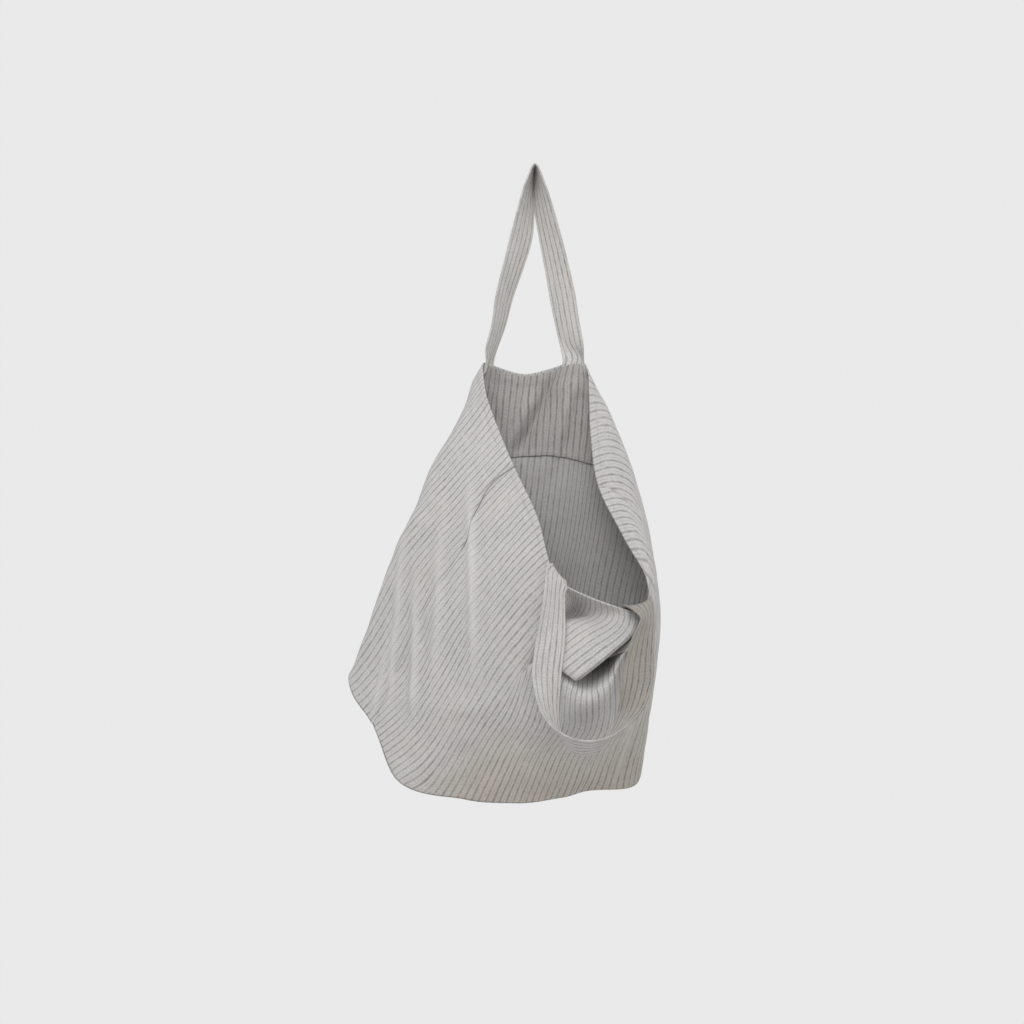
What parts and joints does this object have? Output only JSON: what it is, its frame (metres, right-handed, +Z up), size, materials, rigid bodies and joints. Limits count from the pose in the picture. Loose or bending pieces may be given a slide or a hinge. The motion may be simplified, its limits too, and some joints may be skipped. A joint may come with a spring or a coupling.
{
  "type": "linen tote bag",
  "caption": "Soft striped linen tote bag hanging by its back handle, mouth fallen open to the front, other handle looped down over a slack, tucked front.",
  "frame": {"origin": "where the back handle hangs, at its top bend", "axes": "+Z up, +X to the right seen from the front, +Y to the back of the bag"},
  "size_m": [0.4216, 0.2387, 0.8653],
  "materials": {
    "linen": "matt woven linen, pale grey with thin dark grey stripes",
    "linen_inside": "matt woven linen, the inside of the same striped cloth",
    "linen_strap": "matt woven linen, doubled and stitched, stripes along the strap"
  },
  "bodies": {
    "root": {"back_panel": "linen", "front_panel": "linen", "back_facing": "linen_inside", "back_handle": "linen_strap", "front_handle": "linen_strap"}
  },
  "joints": []
}
